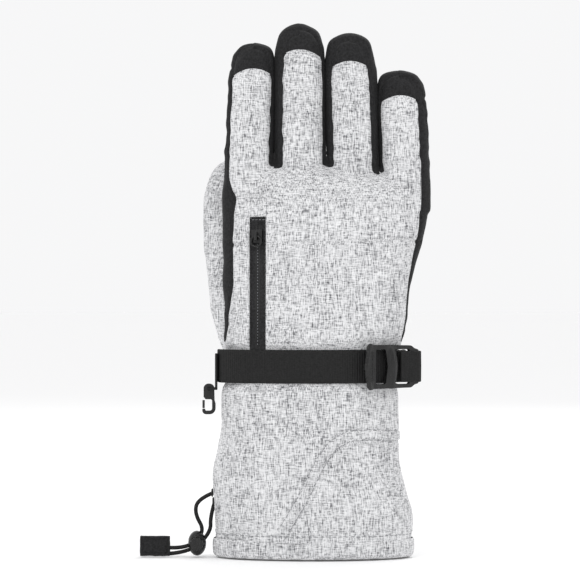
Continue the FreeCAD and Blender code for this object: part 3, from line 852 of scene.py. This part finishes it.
def hem():
    """The turned-up hem: a soft roll from the outer face round to the lining."""
    outline = ((0.0, 11.5), (0.55, 10.8), (0.75, 9.0), (0.7, 5.0), (0.4, 2.2), (-0.6, 0.8), (-2.2, 0.3),
               (-3.8, 0.9), (-4.7, 2.4), (-5.0, 6.0), (-5.0, 12.5))
    steps = 360
    rows = []
    for out, height in outline:
        row = []
        for i in range(steps):
            turn = math.tau * i / steps
            ripple = 0.25 * noise(Vector((4 * math.cos(turn), 4 * math.sin(turn), height / 9)))
            wide, deep = 59.8 + out + ripple, 32.4 + out + ripple
            row.append((-1.9 + wide * math.cos(turn), deep * math.sin(turn), height))
        rows.append(row)
    obj = new_object("hem_roll", grid_mesh("hem_roll", rows), HEATHER)
    apply_modifier(obj, "SUBSURF", levels=1)
    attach(obj, "shell")
    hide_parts("hem_binding")


def lining():
    """The brushed lining seen through the opening, closed at the knuckles."""
    rows = [(height, across, depth, wide - LINING_INSET, deep - LINING_INSET)
            for height, across, depth, wide, deep in TRUNK[:11]]
    rows[0] = (11, -1.3, 0, 53.9, 27.4)
    rings = [ring(*row, count=180) for row in blended_rows(rows, 3.0)]
    centre = rings[-1]
    rings.append([(4.4 + (x - 4.4) * 0.05, y * 0.05, z + 4) for x, y, z in centre])
    obj = new_object("fleece_lining", grid_mesh("fleece_lining", rings), FLEECE)
    co = points_of(obj.data)
    set_points(obj.data, co - normals_of(obj.data) * (0.5 * noise_field(co, 7, 21))[:, None])
    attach(obj, "shell")
    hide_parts("gauntlet_lining", "hand_lining")


def resampled(path, step):
    """Points a fixed step apart along a line of (x, y) points."""
    path = np.array(path, float)
    length = np.concatenate(([0], np.cumsum(np.hypot(*np.diff(path, axis=0).T))))
    at = np.arange(0, length[-1], step)
    return np.stack([np.interp(at, length, path[:, 0]), np.interp(at, length, path[:, 1])], 1), at


def ribbon(name, path, low, high, thick, rib=1.5, depth=0.16):
    """Ribbed webbing that follows a line of (x, y) points and stands between two heights."""
    line, at = resampled(path, rib / 5)
    along = np.gradient(line, axis=0)
    along /= np.linalg.norm(along, axis=1, keepdims=True)
    side = np.stack([along[:, 1], -along[:, 0]], 1)
    rows = []
    for point, out, s in zip(line, side, at):
        wave = depth * math.cos(math.tau * s / rib)
        edge = 0.35 + 0.15 * math.cos(math.tau * s / rib)
        outer, inner = thick / 2 + wave, -thick / 2 - wave
        loop = ((inner, low + edge), (0, low), (outer, low + edge), (outer, low + 1.2),
                (outer + 0.1, (low + high) / 2), (outer, high - 1.2), (outer, high - edge), (0, high),
                (inner, high - edge))
        rows.append([(point[0] + out[0] * o, point[1] + out[1] * o, z) for o, z in loop])
    obj = new_object(name, grid_mesh(name, rows, capped=True), WEBBING)
    return obj


def wrist_arc(start, end, grow, count=160):
    """Points round the wrist between two angles, seen from the fingertips; 270 is the back."""
    return [(-3.0 + (53.8 + grow) * math.cos(math.radians(a)), (26.4 + grow) * math.sin(math.radians(a)))
            for a in np.linspace(start, end, count)]


def strap():
    main = ribbon("strap_webbing", wrist_arc(177, 328, 2.0), 104.6, 124.6, 1.4)
    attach(main, "shell")
    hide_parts("wrist_strap")
    end = ribbon("strap_end_webbing", wrist_arc(322, 371, 2.0), 104.9, 124.3, 1.3)
    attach(end, "shell")


TILT = math.radians(30)
BUCKLE = Vector((44.5, -20.0, 114.5))


def in_buckle(x, out):
    """A point of the buckle's plane: along it, and out from its middle."""
    return (BUCKLE.x + x * math.cos(TILT) + out * math.sin(TILT),
            BUCKLE.y + x * math.sin(TILT) - out * math.cos(TILT))


def buckle_webbing():
    turn = [in_buckle(17.2 + 2.3 * math.sin(a), 2.3 * math.cos(a)) for a in np.linspace(0, math.pi, 24)]
    path = [in_buckle(5.2, 1.95), in_buckle(11.0, 2.25)] + turn
    path += [in_buckle(11.0, -2.3), in_buckle(5.2, -2.3)]
    loop = ribbon("buckle_loop_webbing", path, 105.2, 123.8, 1.15)
    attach(loop, "buckle")
    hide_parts("buckle_loop")


# ---------------------------------------------------------------- moulded parts

def moulded_piece(node, voxel, rounds, mat, body, shape=None):
    """A CAD part with its edges rounded as a moulding's are, in place of the sharp solid."""
    obj = new_object(node + "_part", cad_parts[node].data.copy())
    obj.data.materials.clear()
    obj.data.materials.append(mat)
    remesh(obj, voxel, rounds)
    if shape:
        co = points_of(obj.data)
        set_points(obj.data, co + normals_of(obj.data) * shape(co)[:, None])
    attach(obj, body)
    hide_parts(node)
    return obj


def buckle_relief(co):
    """Raised rims and a dished thumb tab on the buckle's face."""
    along = (co[:, 0] - BUCKLE.x) * math.cos(TILT) + (co[:, 1] - BUCKLE.y) * math.sin(TILT)
    out = (co[:, 0] - BUCKLE.x) * math.sin(TILT) - (co[:, 1] - BUCKLE.y) * math.cos(TILT)
    face = smooth(0.5, 1.1, out)
    across = co[:, 2] - BUCKLE.z
    ribs = ridge(np.mod(along + 17.4, 1.5) - 0.75, 0.35) * (along < -12.4) * (along > -17.2)
    lip = 2.0 * (1 - smooth(-18.0, -12.5, along))
    bar = 2.6 * ridge(along, 2.6) * (1 - (across / 13.5) ** 2).clip(0)
    end = 1.0 * ridge(along - 17.0, 1.2)
    return face * (lip + bar + end + 0.25 * ribs * (np.abs(across) < 9))


def dress_node(name, mat):
    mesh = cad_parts[name].data
    if not mesh.materials:
        mesh.materials.append(mat)
    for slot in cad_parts[name].material_slots:
        slot.material = mat


def hardware():
    moulded_piece("buckle_frame", 0.26, 3, PLASTIC, "buckle", buckle_relief)
    moulded_piece("clip_hook", 0.16, 3, PLASTIC, "hook")
    moulded_piece("clip_gate", 0.12, 3, SATIN_PLASTIC, "gate")
    moulded_piece("clip_tab", 0.2, 3, WEBBING, "shell")
    moulded_piece("zip_slider", 0.14, 2, SATIN_PLASTIC, "slider")
    lock = moulded_piece("cord_lock_body", 0.18, 3, PLASTIC, "shell")
    plunger = moulded_piece("cord_lock_plunger", 0.16, 2, PLASTIC, "plunger")
    dress_node("zip_puller", PLASTIC)
    dress_node("cord_eyelets", SATIN_PLASTIC)
    dress_node("zip_coil", SATIN_PLASTIC)
    return lock, plunger


def tab_relief(co):
    """The folded tab: pinched along its stitching and soft between."""
    x, y, z = co.T
    pinch = np.minimum(np.minimum(x + 106.0, -88.0 - x), np.minimum(z - 0.3, 12.3 - z))
    return 0.35 * noise_field(co, 4, 31) - 0.55 * ridge(pinch - 1.8, 0.5) * (np.abs(y) > 0.8)


# ---------------------------------------------------------------- stitching

def stitches(name, points, normals, mat, length, gap, radius, body="shell"):
    """A row of separate stitches along a line on the surface."""
    points = [Vector(p) for p in points]
    at = [0.0]
    for a, b in zip(points, points[1:]):
        at.append(at[-1] + (b - a).length)
    verts, faces = [], []
    place = gap / 2
    while place + length < at[-1]:
        ends = []
        for s in (place, place + length * 0.5, place + length):
            i = min(max(np.searchsorted(at, s) - 1, 0), len(points) - 2)
            u = (s - at[i]) / max(at[i + 1] - at[i], 1e-9)
            ends.append((points[i].lerp(points[i + 1], u), Vector(normals[i])))
        (a, up), (middle, _), (b, _) = ends
        run = (b - a).normalized()
        side = run.cross(up).normalized()
        base = len(verts)
        for share, grow, lift in ((0, 0.45, -0.3), (0.2, 0.95, 0.25), (0.5, 1.0, 0.5), (0.8, 0.95, 0.25),
                                  (1, 0.45, -0.3)):
            spot = a.lerp(middle, share * 2) if share < 0.5 else middle.lerp(b, share * 2 - 1)
            for k in range(6):
                turn = math.tau * k / 6
                ring_out = side * math.cos(turn) + up * math.sin(turn)
                verts.append((spot + up * radius * lift + ring_out * radius * grow) * MM)
        for r in range(4):
            for k in range(6):
                j = (k + 1) % 6
                faces.append((base + r * 6 + k, base + r * 6 + j, base + r * 6 + 6 + j, base + r * 6 + 6 + k))
        faces.append(tuple(base + k for k in reversed(range(6))))
        faces.append(tuple(base + 24 + k for k in range(6)))
        place += length + gap
    mesh = bpy.data.meshes.new(name)
    mesh.from_pydata(verts, [], faces)
    for polygon in mesh.polygons:
        polygon.use_smooth = True
    obj = new_object(name, mesh, mat)
    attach(obj, body)
    return obj


def on_surface(surface, flat, side):
    """Drops (x, z) points onto the back (-1) or the palm (1) of the glove."""
    points, normals = [], []
    for x, z in flat:
        hit, normal, _, _ = surface.ray_cast(Vector((x, side * 90, z)) * MM, Vector((0, -side, 0)))
        if hit is not None:
            points.append(hit / MM)
            normals.append(normal)
    return points, normals


def offset_line(line, distance, step=1.0):
    dense, _ = resampled(line, step)
    along = np.gradient(dense, axis=0)
    along /= np.linalg.norm(along, axis=1, keepdims=True)
    return dense + np.stack([-along[:, 1], along[:, 0]], 1) * distance


def sewing(surface):
    corners = [(x, 125.2 + (2.3 if i % 2 else -2.3)) for i, x in enumerate(np.arange(-14, 55, 4.0))]
    points, normals = on_surface(surface, resampled(corners, 0.6)[0], 1)
    stitches("wrist_zigzag", points, normals, WHITE_THREAD, 2.0, 0.55, 0.36)
    for name, distance in (("band_stitch_upper", 3.0), ("band_stitch_lower", -3.0)):
        points, normals = on_surface(surface, offset_line(BAND, distance), -1)
        stitches(name, points, normals, GREY_THREAD, 2.2, 0.8, 0.22)
    middle = Vector((-1.3, 0, 14.2))
    points, normals = [], []
    for turn in np.linspace(0, math.tau, 400):
        spoke = Vector((59.6 * math.cos(turn), 32.5 * math.sin(turn), 0))
        hit, normal, _, _ = surface.ray_cast((middle + spoke * 1.6) * MM, -spoke.normalized())
        if hit is not None:
            points.append(hit / MM)
            normals.append(normal)
    stitches("hem_stitch", points, normals, GREY_THREAD, 2.6, 1.0, 0.22)
    for name, x in (("zip_stitch_left", -39.5), ("zip_stitch_right", -30.9)):
        points, normals = on_surface(surface, [(x, z) for z in np.arange(127, 202, 0.8)], -1)
        stitches(name, points, normals, BLACK_THREAD, 2.0, 0.7, 0.2)
    # Painted highlights: a row of grey capsules down the middle of the zip tape stands for the glints on the
    # black coil.
    points, normals = on_surface(surface, [(ZIP_X, z) for z in np.arange(127, 193, 0.8)], -1)
    stitches("zip_glints", points, normals, GREY_THREAD, 0.9, 0.9, 0.2)
    box = [(-39.2, 201.8), (-30.0, 201.8), (-30.0, 214.8), (-39.2, 214.8), (-39.2, 201.8)]
    points, normals = on_surface(surface, resampled(box, 0.6)[0], -1)
    stitches("garage_stitch", points, normals, GREY_THREAD, 1.7, 0.6, 0.2)


def label():
    """The blank white label sewn into the seam of the gauntlet."""
    rows = []
    for z in np.linspace(89, 55, 35):
        row = []
        for turn in np.linspace(22, 40, 13):
            a = math.radians(turn)
            curl = 0.5 + 1.2 * ((89 - z) / 34) ** 2 * smooth(24, 40, turn)
            row.append((-4.6 + (55.6 + curl) * math.cos(a), (29.4 + curl) * math.sin(a), z))
        rows.append(row)
    obj = new_object("cuff_label_tape", grid_mesh("cuff_label_tape", rows, closed=False), LABEL)
    apply_modifier(obj, "SOLIDIFY", thickness=0.35 * MM, offset=1.0)
    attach(obj, "shell")
    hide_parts("cuff_label")


# ---------------------------------------------------------------- put it together

CORD_BRAID = webbing_yarn()
CORD_BRAID.name = "cord_braid"
lock, plunger = hardware()
tab = moulded_piece("pull_tab", 0.3, 8, SOFTSHELL, "shell", tab_relief)
CORD_DIAMETER = 0.0024
cord("drawcord_outer", OUTER_STRAND)
cord("drawcord_inner", INNER_STRAND)

meshes, surface = whole_glove()
meshes.update(thumb_pieces())
place_pieces(meshes)
hem()
lining()
strap()
buckle_webbing()
label()
sewing(surface)
